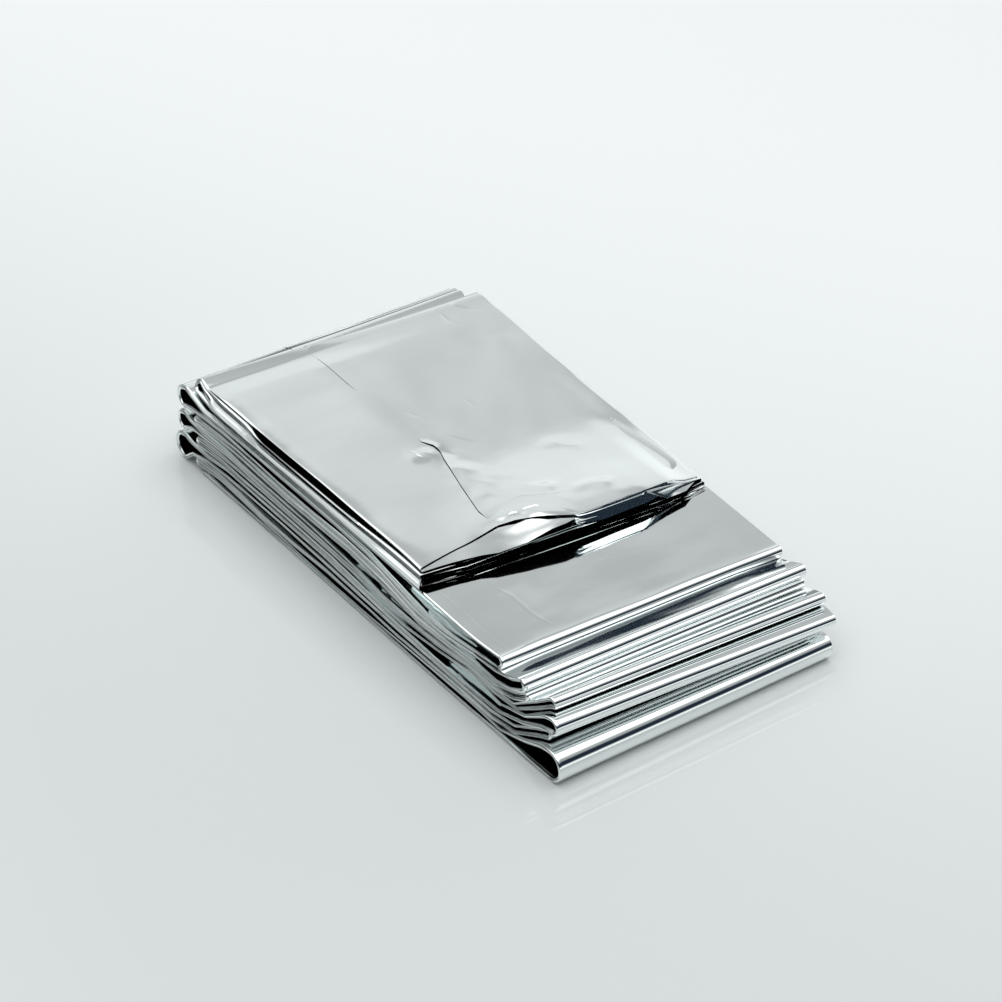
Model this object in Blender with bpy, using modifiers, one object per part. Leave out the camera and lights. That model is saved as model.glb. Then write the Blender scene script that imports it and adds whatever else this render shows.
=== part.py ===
"""Folded emergency foil blanket.

A blanket of thin metallised film, 1.30 m by 2.10 m, is folded lengthways into a strip 76 mm wide,
and the strip is then folded back and forth into a pack of fifteen panels. This file models the
strip as one solid: it starts at its short top panel, turns at each fold, and ends under the pack.

X is the strip's width, Y the panels' length with the staggered front folds at -Y, and Z is up.
The pack lies on its bottom panel at Z = 0. Sizes are in millimetres and are scaled to metres.
"""

import math
from collections import namedtuple

import bmesh
import bpy
import numpy as np

MM = 0.001

# Sizes of the strip and the pack; left is the -X edge, right the +X edge
STRIP_WIDTH = 76.0
STRIP_THICK = 1.05
PANEL_LENGTH = 140.0
PANELS = 15
PITCH_LEFT = 1.46
PITCH_RIGHT = 1.40

# The top panel is short and loose. At a few places across it, from side -1 (left) to 1 (right), the
# table gives the Y of its free end, its thickness and how far its plies spread apart at that end.
TopPanel = namedtuple("TopPanel", "side end_y thick end_thick")
TOP_PANEL = (
    TopPanel(-1.0, -20.0, 3.1, 3.1),
    TopPanel(-0.6, -23.2, 2.9, 3.2),
    TopPanel(-0.1, -25.2, 2.3, 3.4),
    TopPanel(0.2, -26.4, 2.1, 4.8),
    TopPanel(0.7, -28.0, 1.8, 4.9),
    TopPanel(0.9, -27.0, 1.6, 3.0),
    TopPanel(1.0, -24.0, 1.6, 1.5),
)
TOP_SPREAD_LENGTH = 30.0
TOP_CLOSE_LENGTH = 9.0

# The top panel's uppermost plies cover only its right part and add a small step along their edge
PLY_EDGE = -0.28
PLY_STEP_WIDTH = 0.05
PLY_STEP_HEIGHT = 0.35

# The bottom panel stops short of the back folds
BOTTOM_END = 67.0
BOTTOM_SAG_LENGTH = 7.0

# How soon the layers above sink past the tip of a shorter fold
SINK_LENGTH = 6.0

# Mesh density
ACROSS = (-1.0, -0.93, -0.7, -0.5, PLY_EDGE - PLY_STEP_WIDTH, PLY_EDGE, 0.0, 0.3, 0.6, 0.85, 0.96, 1.0)
PANEL_ROWS = 10
FOLD_ROWS = 8

# A fold joins the panel named upper to the one under it. Its tip, the height of its roll and the
# length over which its legs open are given at the left (-X) and right (+X) edges of the strip.
Fold = namedtuple("Fold", "upper side tip_left tip_right roll_left roll_right open_length")
FRONT, BACK = -1, 1
FOLDS = (
    Fold(1, BACK, 72.0, 69.5, 3.4, 2.9, 9.0),
    Fold(2, FRONT, -52.0, -52.5, 3.3, 2.9, 10.0),
    Fold(3, BACK, 76.9, 76.0, 6.0, 5.2, 7.0),
    Fold(4, FRONT, -60.7, -61.3, 3.4, 3.5, 12.0),
    Fold(5, BACK, 69.5, 69.0, 2.6, 2.5, 8.0),
    Fold(6, FRONT, -59.6, -61.0, 2.6, 2.5, 9.0),
    Fold(7, BACK, 77.2, 76.0, 5.6, 5.0, 7.0),
    Fold(8, FRONT, -66.5, -67.7, 3.2, 3.0, 11.0),
    Fold(9, BACK, 69.5, 69.0, 2.6, 2.5, 8.0),
    Fold(10, FRONT, -70.4, -71.4, 4.0, 3.2, 13.0),
    Fold(11, BACK, 78.0, 76.4, 7.6, 6.6, 9.0),
    Fold(12, FRONT, -67.0, -67.1, 2.6, 2.5, 9.0),
    Fold(13, BACK, 70.0, 69.5, 2.6, 2.5, 8.0),
    Fold(14, FRONT, -73.5, -71.9, 8.0, 6.1, 22.0),
)

# How far the left and right edges stray sideways from the strip's nominal place, at the front and
# at the back. Between the panels that have a row, the edges run evenly from one to the next.
Stray = namedtuple("Stray", "panel left_front left_back right_front right_back")
STRAYS = (
    Stray(1, 2.7, 2.7, -1.0, 2.2),
    Stray(2, 0.9, 1.3, 0.9, 1.3),
    Stray(3, 0.5, 0.4, 0.5, 0.4),
    Stray(5, 0.3, -0.3, 0.3, -0.3),
    Stray(7, 0.2, 0.1, 0.2, 0.1),
    Stray(9, 1.3, 0.2, 1.3, 0.2),
    Stray(11, 1.0, -0.2, 1.0, -0.2),
    Stray(13, 0.0, 0.1, 0.0, 0.1),
    Stray(15, 0.1, 0.2, 0.1, 0.2),
)


def clear_scene():
    for obj in list(bpy.data.objects):
        bpy.data.objects.remove(obj)


def mix(low, high, share):
    return low + (high - low) * share


def smooth(share):
    share = min(1.0, max(0.0, share))
    return share * share * (3.0 - 2.0 * share)


def pitch(side):
    """Height from one panel's middle surface to the next; side runs from -1 (left) to 1 (right)."""
    return mix(PITCH_LEFT, PITCH_RIGHT, (side + 1.0) / 2.0)


def tip(fold, side):
    return mix(fold.tip_left, fold.tip_right, (side + 1.0) / 2.0)


def roll(fold, side):
    """Height of the fold's roll, from the middle surface of one leg to that of the other."""
    outer = mix(fold.roll_left, fold.roll_right, (side + 1.0) / 2.0)
    return max(outer - STRIP_THICK, pitch(side))


def turn_centre(fold, side):
    """Where the fold's legs end and its half circle starts, along Y."""
    return tip(fold, side) - fold.side * roll(fold, side) / 2.0


def opening(fold, side, y):
    """Height between the fold's two legs at y, and what is left of it just past the tip."""
    inside = (tip(fold, side) - y) * fold.side
    full = roll(fold, side)
    if inside < 0.0:
        return full * (1.0 - smooth(-inside / SINK_LENGTH))
    spread = smooth((fold.open_length - inside) / (fold.open_length - full / 2.0))
    height = mix(pitch(side), full, spread)
    if fold.side == FRONT:
        # Behind the back fold above it, the panel between the two ends, and the gap closes
        height *= 1.0 - smooth((y - tip(FOLDS[fold.upper - 2], side)) / SINK_LENGTH)
    return height


def level(panel, side, y):
    """Height of a panel's middle surface: each one lies on the openings of the folds below it."""
    sag = pitch(side) * smooth((y - BOTTOM_END) / BOTTOM_SAG_LENGTH) if panel < PANELS else 0.0
    stack = sum(opening(fold, side, y) for fold in FOLDS if fold.upper >= panel)
    return STRIP_THICK / 2.0 + stack - sag


def top_value(name, side):
    """A column of the top panel's table, between the places that have a row."""
    return float(np.interp(side, [row.side for row in TOP_PANEL], [getattr(row, name) for row in TOP_PANEL]))


def top_thick(side, y):
    """Thickness of the top panel: its plies spread at the free end and close up at the fold."""
    step = PLY_STEP_HEIGHT if side >= PLY_EDGE else 0.0
    spread = smooth(1.0 - (y - top_value("end_y", side)) / TOP_SPREAD_LENGTH)
    loose = mix(top_value("thick", side), top_value("end_thick", side), spread) + step
    closed = smooth(1.0 - (turn_centre(FOLDS[0], side) - y) / TOP_CLOSE_LENGTH)
    return mix(loose, STRIP_THICK, closed)


def panel_point(panel, side, y):
    """A point of a panel's middle surface as (y, z, thickness)."""
    if panel == 1:
        thick = top_thick(side, y)
        return y, level(1, side, y) + (thick - STRIP_THICK) / 2.0, thick
    return y, level(panel, side, y), STRIP_THICK


def panel_ends(panel, side):
    """Where a panel starts and ends along Y, following the strip from its top end."""
    start = top_value("end_y", side) if panel == 1 else turn_centre(FOLDS[panel - 2], side)
    end = BOTTOM_END if panel == PANELS else turn_centre(FOLDS[panel - 1], side)
    return start, end


def fold_points(fold, side):
    """The half circle of a fold, from its upper leg to its lower one."""
    centre_y = turn_centre(fold, side)
    upper, lower = level(fold.upper, side, centre_y), level(fold.upper + 1, side, centre_y)
    radius = (upper - lower) / 2.0
    for row in range(1, FOLD_ROWS):
        angle = math.pi * row / FOLD_ROWS
        y = centre_y + fold.side * radius * math.sin(angle)
        yield y, (upper + lower) / 2.0 + radius * math.cos(angle), STRIP_THICK


def strip_path(side):
    """The whole strip along one line of constant width position, as (panel, (y, z, thickness)).

    A point of a fold has a panel number between those of the two panels that it joins.
    """
    path = []
    for panel in range(1, PANELS + 1):
        start, end = panel_ends(panel, side)
        for row in range(PANEL_ROWS + 1):
            share = (1.0 - math.cos(math.pi * row / PANEL_ROWS)) / 2.0
            path.append((panel, panel_point(panel, side, mix(start, end, share))))
        if panel < PANELS:
            turn = fold_points(FOLDS[panel - 1], side)
            path += [(panel + row / FOLD_ROWS, point) for row, point in enumerate(turn, 1)]
    return path


def stray(panel, side, y):
    """Sideways drift of the strip at y, for a panel or for a point of a fold between two panels."""
    back, right = min(1.0, max(0.0, y / PANEL_LENGTH + 0.5)), (side + 1.0) / 2.0
    drifts = [mix(mix(row.left_front, row.left_back, back), mix(row.right_front, row.right_back, back), right)
              for row in STRAYS]
    return float(np.interp(panel, [row.panel for row in STRAYS], drifts))


def foil_material():
    foil = bpy.data.materials.new("silver_foil")
    foil.use_nodes = True
    surface = foil.node_tree.nodes["Principled BSDF"]
    surface.inputs["Base Color"].default_value = (0.80, 0.82, 0.83, 1.0)
    surface.inputs["Metallic"].default_value = 1.0
    surface.inputs["Roughness"].default_value = 0.16
    return foil


def folded_strip(collection):
    """A flat grid is laid along the folded path, one row for each step, and gets its thickness."""
    paths = [strip_path(side) for side in ACROSS]
    rows = len(paths[0])
    most = max(thick for path in paths for _, (_, _, thick) in path)
    shell = bmesh.new()
    bmesh.ops.create_grid(shell, x_segments=len(ACROSS) - 1, y_segments=rows - 1, size=1.0)
    spread_layer = shell.verts.layers.deform.verify()
    shell.verts.ensure_lookup_table()
    for row in range(rows):
        for column, side in enumerate(ACROSS):
            panel, (y, z, thick) = paths[column][row]
            corner = shell.verts[row * len(ACROSS) + column]
            x = side * STRIP_WIDTH / 2.0 + stray(panel, side, y)
            corner.co = (x * MM, y * MM, z * MM)
            corner[spread_layer][0] = thick / most
    mesh = bpy.data.meshes.new("foil_blanket")
    shell.to_mesh(mesh)
    shell.free()
    blanket = bpy.data.objects.new("foil_blanket", mesh)
    blanket.vertex_groups.new(name="spread")
    thickness = blanket.modifiers.new("thickness", "SOLIDIFY")
    thickness.thickness = most * MM
    thickness.offset = 0.0
    thickness.vertex_group = "spread"
    mesh.materials.append(foil_material())
    collection.objects.link(blanket)
    return blanket


def stand_on_origin(blanket):
    """Moves the points so that the pack's box is centred over the origin, its underside at Z = 0."""
    bpy.context.view_layer.update()
    graph = bpy.context.evaluated_depsgraph_get()
    corners = [tuple(corner) for corner in blanket.evaluated_get(graph).bound_box]
    middle = [(min(axis) + max(axis)) / 2.0 for axis in list(zip(*corners))[:2]]
    for corner in blanket.data.vertices:
        corner.co.x -= middle[0]
        corner.co.y -= middle[1]
    blanket.data.update()


def main():
    clear_scene()
    collection = bpy.data.collections.new("emergency_foil_blanket")
    bpy.context.scene.collection.children.link(collection)
    stand_on_origin(folded_strip(collection))


main()
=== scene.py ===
# %% [markdown]
# # A folded emergency foil blanket
#
# The real thing is one sheet of plastic film, metallised on both sides and thinner than a hair.
# It is folded lengthways into a narrow strip of many plies, and the strip is folded back and forth
# into a flat pack. This lesson makes it the same way: one flat grid of points, which is folded by
# arithmetic along the path of the solid model, so it is still a single sheet at the end.

# %% The fixed frame
import math
from collections import namedtuple

import bmesh
import bpy
import numpy as np
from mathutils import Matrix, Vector


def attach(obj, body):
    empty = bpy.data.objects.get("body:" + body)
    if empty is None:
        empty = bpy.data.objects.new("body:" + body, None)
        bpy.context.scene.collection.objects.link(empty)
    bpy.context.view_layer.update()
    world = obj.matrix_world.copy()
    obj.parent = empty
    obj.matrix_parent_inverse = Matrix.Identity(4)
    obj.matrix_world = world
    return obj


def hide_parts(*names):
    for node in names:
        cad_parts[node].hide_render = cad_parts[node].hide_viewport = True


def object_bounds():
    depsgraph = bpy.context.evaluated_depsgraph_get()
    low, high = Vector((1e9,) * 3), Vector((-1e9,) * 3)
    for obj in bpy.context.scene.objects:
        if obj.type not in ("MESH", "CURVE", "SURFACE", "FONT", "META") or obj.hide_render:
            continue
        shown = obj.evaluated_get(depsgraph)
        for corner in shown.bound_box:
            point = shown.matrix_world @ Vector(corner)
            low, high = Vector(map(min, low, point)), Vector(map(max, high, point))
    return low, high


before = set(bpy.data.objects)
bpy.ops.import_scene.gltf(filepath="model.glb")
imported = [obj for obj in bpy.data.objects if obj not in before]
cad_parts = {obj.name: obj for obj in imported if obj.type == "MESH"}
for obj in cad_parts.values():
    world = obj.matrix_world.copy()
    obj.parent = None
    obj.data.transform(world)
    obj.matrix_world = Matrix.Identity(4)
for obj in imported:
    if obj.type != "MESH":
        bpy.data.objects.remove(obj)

MM = 0.001
cad_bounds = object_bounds()
print("solid model from", cad_bounds[0], "to", cad_bounds[1])

# %% [markdown]
# ## The fold table
#
# A pack of this kind is drawn from the side first. Each row is one fold of the strip, with the
# place of its tip and the height of its roll at the left and the right edge. All the numbers are
# millimetres, in the same frame as the solid: X across the strip, -Y towards the front folds.
# Because the heights add up from the bottom, every panel lies on the ones below it by itself.

# %% Sizes of the strip and its folds
STRIP_WIDTH = 76.0
STRIP_THICK = 1.05
PANEL_LENGTH = 140.0
PANELS = 15
PITCH_LEFT = 1.46
PITCH_RIGHT = 1.40
BOTTOM_END = 67.0
BOTTOM_SAG_LENGTH = 7.0
SINK_LENGTH = 6.0

Fold = namedtuple("Fold", "upper side tip_left tip_right roll_left roll_right open_length")
FRONT, BACK = -1, 1
FOLDS = (
    Fold(1, BACK, 72.0, 67.6, 3.4, 2.9, 9.0),
    Fold(2, FRONT, -50.4, -52.0, 3.3, 2.9, 10.0),
    Fold(3, BACK, 76.9, 76.0, 6.0, 5.7, 9.0),
    Fold(4, FRONT, -59.8, -61.3, 3.4, 3.5, 12.0),
    Fold(5, BACK, 69.5, 69.0, 2.6, 2.5, 8.0),
    Fold(6, FRONT, -59.6, -61.0, 2.6, 2.5, 9.0),
    Fold(7, BACK, 77.2, 76.0, 5.6, 5.0, 7.0),
    Fold(8, FRONT, -66.5, -67.7, 3.2, 3.0, 11.0),
    Fold(9, BACK, 69.5, 69.0, 2.6, 2.5, 8.0),
    Fold(10, FRONT, -70.4, -71.4, 4.0, 3.2, 13.0),
    Fold(11, BACK, 78.0, 76.4, 7.6, 6.6, 9.0),
    Fold(12, FRONT, -67.0, -67.1, 2.6, 2.5, 9.0),
    Fold(13, BACK, 70.0, 69.5, 2.6, 2.5, 8.0),
    Fold(14, FRONT, -73.5, -71.9, 8.0, 6.1, 22.0),
)

Stray = namedtuple("Stray", "panel left_front left_back right_front right_back")
STRAYS = (
    Stray(1, 2.7, 2.7, -1.0, 3.0),
    Stray(2, 0.9, 1.3, 0.9, 1.3),
    Stray(3, 0.5, 0.4, 0.5, 0.4),
    Stray(5, 0.3, -0.3, 0.3, -0.3),
    Stray(7, 0.2, 0.1, 0.2, 0.1),
    Stray(9, 1.3, 0.2, 1.3, 0.2),
    Stray(11, 1.0, -0.2, 1.0, -0.2),
    Stray(13, 0.0, 0.1, 0.0, 0.1),
    Stray(15, 0.1, 0.2, 0.1, 0.2),
)
print("folds:", len(FOLDS), "panels:", PANELS)

# %% [markdown]
# ## The path of the strip
#
# The strip's middle surface is a function of three things: which panel it is, how far across the
# strip the point lies, and how far along the panel. NumPy works it out for whole blocks of points
# at once, which keeps a grid of nearly a hundred thousand points quick.

# %% Helpers for the path
def mix(low, high, share):
    return low + (high - low) * share


def smooth(share):
    share = np.clip(share, 0.0, 1.0)
    return share * share * (3.0 - 2.0 * share)


def across(side, left, right):
    """A value that runs from left at side -1 to right at side 1."""
    return mix(left, right, (side + 1.0) / 2.0)


def pitch(side):
    return across(side, PITCH_LEFT, PITCH_RIGHT)


def tip(fold, side):
    return across(side, fold.tip_left, fold.tip_right)


def roll(fold, side):
    return np.maximum(across(side, fold.roll_left, fold.roll_right) - STRIP_THICK, pitch(side))


def turn_centre(fold, side):
    return tip(fold, side) - fold.side * roll(fold, side) / 2.0


def opening(fold, side, y):
    """Height between the fold's two legs at y, and what is left of it just past the tip."""
    inside = (tip(fold, side) - y) * fold.side
    full = roll(fold, side)
    past = full * (1.0 - smooth(-inside / SINK_LENGTH))
    spread = smooth((fold.open_length - inside) / (fold.open_length - full / 2.0))
    height = mix(pitch(side), full, spread)
    if fold.side == FRONT:
        height = height * (1.0 - smooth((y - tip(FOLDS[fold.upper - 2], side)) / SINK_LENGTH))
    return np.where(inside < 0.0, past, height)


def drift(along, seed, length, count=4):
    """A slow wander along a line, near 1 at most; the same seed gives the same wander."""
    draw = np.random.default_rng(seed)
    total = 0.0
    for _ in range(count):
        scale = 2.0 * math.pi / (length * draw.uniform(0.6, 1.7))
        total = total + np.sin(along * scale + draw.uniform(0.0, 2.0 * math.pi))
    return total / math.sqrt(count)


# %% [markdown]
# ## Uneven edges
#
# A hand folded pack is tight in one place and loose in another. Along the left edge some gaps
# between panels close and others open into long dark slots. The total height has to stay, so the
# gaps share out what is free: each takes the exponent of a slow wander, divided by their sum.
# The upper panels also sag a little towards the front, each by its own share.

# %% Gaps at the long edges
EDGE_FREE = 0.66
GAP_CONTRAST = 1.6
GAP_WANDER = 100.0
GAP_FRONT = -58.0
GAP_BACK = 70.0
GAP_FADE = 16.0
RIGHT_WANDER = 40.0
EDGE_REACH = 0.4

# Shares of the sag by panel; a panel without its own share takes the low one for each panel below it
SAG_SHARES = {1: 1.0, 2: 1.0, 3: 0.9}
LOW_SAG_SHARE = 0.04
SAG_FRONT = -61.0
SAG_FADE = 9.0
FRONT_SAG = 0.45
FRONT_SAG_BACK = -22.0
FRONT_SAG_LENGTH = 30.0


def edge_weight(side):
    return smooth((np.abs(side) - 1.0 + EDGE_REACH) / EDGE_REACH)


def gap_shares(side, y):
    """What each opening from 2 to 14 takes of the free height, less its even part."""
    hand = np.where(side < 0.0, 0.0, RIGHT_WANDER)
    pulls = [np.exp(GAP_CONTRAST * drift(y + hand, 100 + opening_number, GAP_WANDER))
             for opening_number in range(2, PANELS)]
    total = sum(pulls)
    fade = smooth((y - GAP_FRONT) / GAP_FADE) * smooth((GAP_BACK - y) / GAP_FADE) * edge_weight(side)
    return [EDGE_FREE * len(pulls) * fade * (pull / total - 1.0 / len(pulls)) for pull in pulls]


def front_sag(side, y):
    """How far the pack's top is pressed down towards the front, so that it stays flat there."""
    first = FOLDS[1]
    full = roll(first, side)
    inside = y - tip(first, side)
    growth = (full - pitch(side)) * smooth((first.open_length - inside) / (first.open_length - full / 2.0))
    growth = growth * smooth((y - SAG_FRONT) / SAG_FADE)
    return growth + FRONT_SAG * np.clip((FRONT_SAG_BACK - y) / FRONT_SAG_LENGTH, 0.0, 1.0)


def level(panel, side, y):
    """Height of a panel's middle surface over the floor."""
    stack = STRIP_THICK / 2.0 + sum(opening(fold, side, y) for fold in FOLDS if fold.upper >= panel)
    if panel < PANELS:
        stack = stack - pitch(side) * smooth((y - BOTTOM_END) / BOTTOM_SAG_LENGTH)
    stack = stack - front_sag(side, y) * SAG_SHARES.get(panel, LOW_SAG_SHARE * (PANELS - panel))
    return stack + sum(gap_shares(side, y)[max(panel, 2) - 2:])


def stray(panel, side, y):
    """Sideways drift of a panel at y; one without its own row takes its neighbours' mean."""
    rows = [row for row in STRAYS if row.panel == panel]
    rows = rows or [row for row in STRAYS if abs(row.panel - panel) == 1]
    share = np.clip(y / PANEL_LENGTH + 0.5, 0.0, 1.0)
    return sum(across(side, mix(row.left_front, row.left_back, share),
                      mix(row.right_front, row.right_back, share)) for row in rows) / len(rows)


# How far the left end of each front fold's roll lies inside the edge
ROLL_INSETS = {2: 0.8, 4: 0.3, 6: 1.4, 8: 3.2, 10: 0.7, 12: 2.2, 14: 0.2}
ROLL_INSET_LENGTH = 7.0


def roll_inset(panel, side, y):
    """How far the left end of a panel's front roll lies inside the edge, full at the roll's tip."""
    number = panel if panel % 2 == 0 else max(panel - 1, 2)
    from_tip = np.clip((y - tip(FOLDS[number - 1], side)) / ROLL_INSET_LENGTH, 0.0, None)
    return ROLL_INSETS[number] * np.exp(-from_tip ** 2) * np.clip(-side, 0.0, 1.0) ** 8


LOWEST_STRAY = min(min(row.left_front, row.left_back) for row in STRAYS)
SHIFT_X = cad_bounds[0][0] / MM - (LOWEST_STRAY - STRIP_WIDTH / 2.0)
SHIFT_Y = cad_bounds[0][1] / MM - (FOLDS[-1].tip_left - STRIP_THICK / 2.0)
print("blanket is moved by", round(SHIFT_X, 2), round(SHIFT_Y, 2), "mm to stand in the solid")

# %% [markdown]
# ## The camera
#
# Two corners at the front, one at the back and the height of the pack fix a camera. A long lens
# keeps the far edges nearly parallel to the near ones, as they are on a product photograph.

# %% Camera
IMAGE_PIXELS = 1002
FOCAL_PIXELS = 5000.0
SENSOR_MM = 36.0
CAMERA_TURN = math.radians(-35.229)
CAMERA_RAISE = math.radians(35.853)
CAMERA_DISTANCE = 1149.5
LOOK_AT = (12.95, 19.06, 0.0)


def add_camera():
    data = bpy.data.cameras.new("camera")
    data.sensor_width = SENSOR_MM
    data.lens = SENSOR_MM * FOCAL_PIXELS / IMAGE_PIXELS
    data.clip_end = 20.0
    camera = bpy.data.objects.new("camera", data)
    back = Vector((math.sin(CAMERA_TURN) * math.cos(CAMERA_RAISE),
                   -math.cos(CAMERA_TURN) * math.cos(CAMERA_RAISE),
                   math.sin(CAMERA_RAISE)))
    target = Vector((LOOK_AT[0] + SHIFT_X, LOOK_AT[1] + SHIFT_Y, LOOK_AT[2]))
    camera.location = (target + back * CAMERA_DISTANCE) * MM
    camera.rotation_euler = back.to_track_quat("Z", "Y").to_euler()
    bpy.context.scene.collection.objects.link(camera)
    bpy.context.scene.camera = camera
    return camera


camera = add_camera()
print("lens", round(camera.data.lens, 1), "mm")

# %% [markdown]
# ## The plies
#
# Across the strip the film turns sixteen times. A strip that is folded in halves has nested
# turns: the outer ply wraps the inner ones, so the long edges show a few round folds and not
# sixteen. PLY_RANK gives each ply its place in the stack, and no two turns cross. Columns of the
# grid are spent on the plies that show, and only where they show.

# %% Ply order and the columns of the grid
PLY_RANK = (0, 9, 8, 1, 2, 7, 6, 3, 4, 5, 10, 13, 12, 11, 14, 15, 16)
PLIES = len(PLY_RANK)
TOP_PLY = PLIES - 1
SECOND_PLY = PLIES - 2
TOP_PLY_START = -0.24

# Stretches across a ply that shows, each from side to side, with its count of columns. The short
# stretch beside an edge keeps the turn's roundness out of the flat film.
RIM_SIDE = 0.985
Stretch = namedtuple("Stretch", "start end count")
SHOWN_PLIES = {
    0: (Stretch(1.0, RIM_SIDE, 1), Stretch(RIM_SIDE, -RIM_SIDE, 20), Stretch(-RIM_SIDE, -1.0, 1)),
    14: (Stretch(1.0, 0.15, 2), Stretch(0.15, -RIM_SIDE, 12), Stretch(-RIM_SIDE, -1.0, 1)),
    SECOND_PLY: (Stretch(-1.0, -RIM_SIDE, 1), Stretch(-RIM_SIDE, -0.1, 16), Stretch(-0.1, 1.0, 7)),
    TOP_PLY: (Stretch(1.0, RIM_SIDE, 1), Stretch(RIM_SIDE, TOP_PLY_START, 28)),
}
HIDDEN_PLY_COLUMNS = 4
TURN_COLUMNS = 4

Column = namedtuple("Column", "ply side turn angle")


def ply_direction(ply):
    """Plies run right to left and left to right in turn; the first runs to the left."""
    return -1 if ply % 2 == 0 else 1


def ply_columns(ply):
    """Columns of one ply, from its start to its end, as places between -1 and 1."""
    if ply not in SHOWN_PLIES:
        for step in range(HIDDEN_PLY_COLUMNS + 1):
            share = math.cos(math.pi * step / HIDDEN_PLY_COLUMNS)
            yield Column(ply, -ply_direction(ply) * share, False, 0.0)
        return
    for number, stretch in enumerate(SHOWN_PLIES[ply]):
        for step in range(0 if number == 0 else 1, stretch.count + 1):
            yield Column(ply, mix(stretch.start, stretch.end, step / stretch.count), False, 0.0)


def turn_columns(ply):
    """Columns of the half circle that joins a ply to the next one."""
    for step in range(1, TURN_COLUMNS):
        yield Column(ply, float(ply_direction(ply)), True, math.pi * step / TURN_COLUMNS)


COLUMNS = []
for ply in range(PLIES):
    COLUMNS += list(ply_columns(ply))
    if ply < TOP_PLY:
        COLUMNS += list(turn_columns(ply))
print("columns:", len(COLUMNS))

# %% [markdown]
# ## The rows
#
# Rows are spent where the film shows: many on the short top panel and its free end, and on the
# front of the panel under it. Hidden panels need only enough to follow the rolls.

# %% Rows of the grid
TOP_ROWS = 80
SECOND_ROWS_HIDDEN = 12
SECOND_ROWS_SHOWN = 28
SECOND_HIDDEN_SHARE = 0.74
PLAIN_PANEL_ROWS = 14
RIM_SHARE = 0.0045
FRONT_FOLD_ROWS = 12
BACK_FOLD_ROWS = 8


def panel_shares(panel):
    """Places along a panel from 0 to 1, closer together where the film shows."""
    if panel == 1:
        steps = np.linspace(0.0, 1.0, TOP_ROWS + 1)
        return mix(steps ** 1.7, steps, 0.08)
    if panel == 2:
        hidden = np.linspace(0.0, SECOND_HIDDEN_SHARE, SECOND_ROWS_HIDDEN + 1)
        shown = np.linspace(SECOND_HIDDEN_SHARE, 1.0, SECOND_ROWS_SHOWN + 1)
        return np.sort(np.concatenate([hidden, shown[1:], [1.0 - RIM_SHARE]]))
    steps = np.linspace(0.0, 1.0, PLAIN_PANEL_ROWS + 1)
    shares = mix(steps, (1.0 - np.cos(math.pi * steps)) / 2.0, 0.8)
    return np.sort(np.concatenate([shares, [RIM_SHARE, 1.0 - RIM_SHARE]]))


def fold_angles(fold):
    rows = FRONT_FOLD_ROWS if fold.side == FRONT else BACK_FOLD_ROWS
    return math.pi * np.arange(1, rows) / rows


ROW_COUNT = sum(len(panel_shares(panel)) for panel in range(1, PANELS + 1))
ROW_COUNT += sum(len(fold_angles(fold)) for fold in FOLDS)
print("rows:", ROW_COUNT, "triangles:", 2 * (ROW_COUNT - 1) * (len(COLUMNS) - 1))

# %% [markdown]
# ## Arrays of the columns
#
# From here on every column is one place in a few arrays, so a whole panel folds in one step. A
# column of a turn lies between its own ply's rank and the next one's.

# %% Arrays of the columns
sides = np.array([column.side for column in COLUMNS])
plies = np.array([column.ply for column in COLUMNS])
turns = np.array([column.turn for column in COLUMNS])
angles = np.array([column.angle for column in COLUMNS])
ranks = np.array([PLY_RANK[ply] for ply in plies]) / (PLIES - 1.0)
next_ranks = np.array([PLY_RANK[min(ply + 1, TOP_PLY)] for ply in plies]) / (PLIES - 1.0)
uppermost = (plies == TOP_PLY) & ~turns
print("arrays of", len(sides), "columns")

# %% [markdown]
# ## Raggedness of the long edges
#
# No two turns of the film end at the same place. Each has its own inset, which wanders along the
# strip, so the left side of the pack becomes a bundle of uneven lines. The wander follows the
# strip's own length, and so it runs on through every fold without a jump.

# %% Insets of the turns
FOLD_RIM = 0.45
STRIP_RUN = 150.0
INSET_MOST = 0.75
INSET_WANDER = 95.0
OUTER_TURN_INSET = 0.25


def run_along(panel, y):
    """Length along the strip from its free end, near enough."""
    half = PANEL_LENGTH / 2.0 + 5.0
    return (panel - 1) * STRIP_RUN + (half + y if panel % 2 else half - y)


def turn_inset(turn, run):
    """How far the turn after a ply lies inside the strip's edge."""
    most = OUTER_TURN_INSET if turn in (0, 3, 10) else INSET_MOST
    return most * (0.5 + 0.5 * np.tanh(1.3 * drift(run, 300 + turn, INSET_WANDER, count=5)))


def edge_insets(run):
    """Sideways shift of every column by the insets of the turns at its ply's two ends."""
    run = np.broadcast_to(run, (run.shape[0], len(sides)))
    shift = np.zeros(run.shape)
    for ply in range(PLIES):
        mine = (plies == ply)
        left_turn, right_turn = (ply, ply - 1) if ply % 2 == 0 else (ply - 1, ply)
        for turn, hand in ((left_turn, -1.0), (right_turn, 1.0)):
            if 0 <= turn < TOP_PLY:
                weight = np.where(turns & mine, sides * hand > 0.0, np.clip(sides * hand, 0.0, 1.0) ** 4)
                weight = np.where(turns & mine & (turn != ply), 0.0, weight)
                shift = shift - hand * np.where(mine, weight * turn_inset(turn, run), 0.0)
    return shift


# %% [markdown]
# ## The stack of plies
#
# Inside one panel the plies don't lie evenly either. The lift of a ply is its share of the
# bundle's height, and it is bent by a slow wander, so that one nest of turns grows as the other
# shrinks. On the top panel the bundle is loose: at its left edge it parts into two, with a dark
# slot between, and at the free end the plies bunch up into a few thick lines.

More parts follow.
